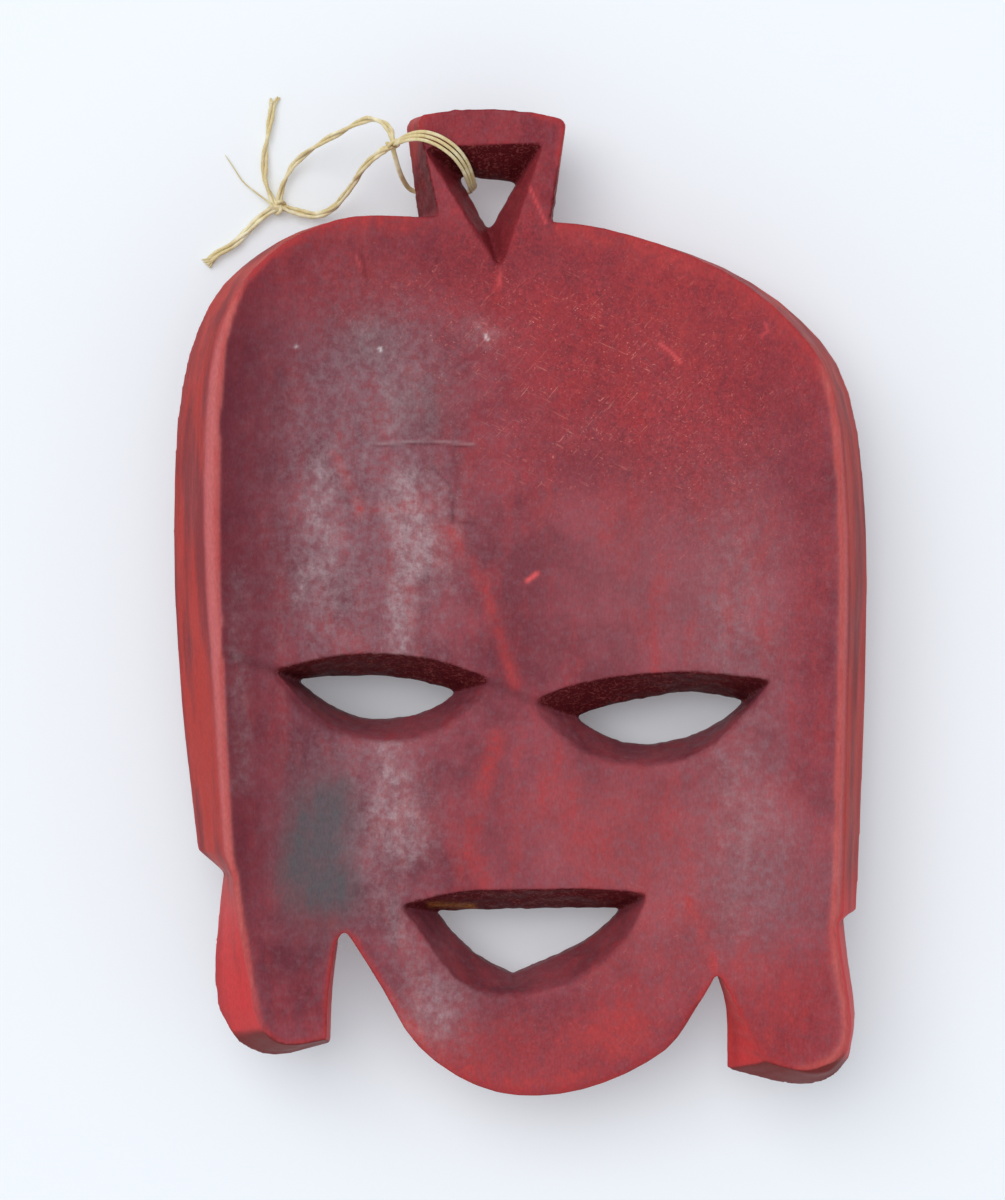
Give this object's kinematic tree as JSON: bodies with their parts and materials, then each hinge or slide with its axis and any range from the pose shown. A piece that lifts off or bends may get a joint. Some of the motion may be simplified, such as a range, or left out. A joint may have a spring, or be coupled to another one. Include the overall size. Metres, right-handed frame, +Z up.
{
  "type": "carved wooden face mask",
  "caption": "Carved and dyed wooden face mask with a hollow back, eye and mouth slits, ear pendants and a pierced block with a twine loop to hang it by.",
  "frame": {"origin": "on the surface the mask lies on, face down, under the middle of the mask's outline (twine left out)", "axes": "+Z up out of the hollow back, +Y from the chin to the hanging block, +X to the right when the hollow is looked into"},
  "size_m": [0.1176, 0.1712, 0.03],
  "materials": {
    "dyed_wood": "close-grained wood stained dark red and rubbed to a soft shine, worn to orange-red on its edges",
    "twine": "straw-coloured natural fibre twine, loosely laid"
  },
  "bodies": {
    "root": {"mask_body": "dyed_wood", "twine_wrap": "twine", "twine_hitch": "twine", "twine_upper_leg": "twine", "twine_lower_leg": "twine", "twine_knot": "twine", "twine_upper_tail": "twine", "twine_lower_tail": "twine", "twine_fibre": "twine"}
  },
  "joints": []
}
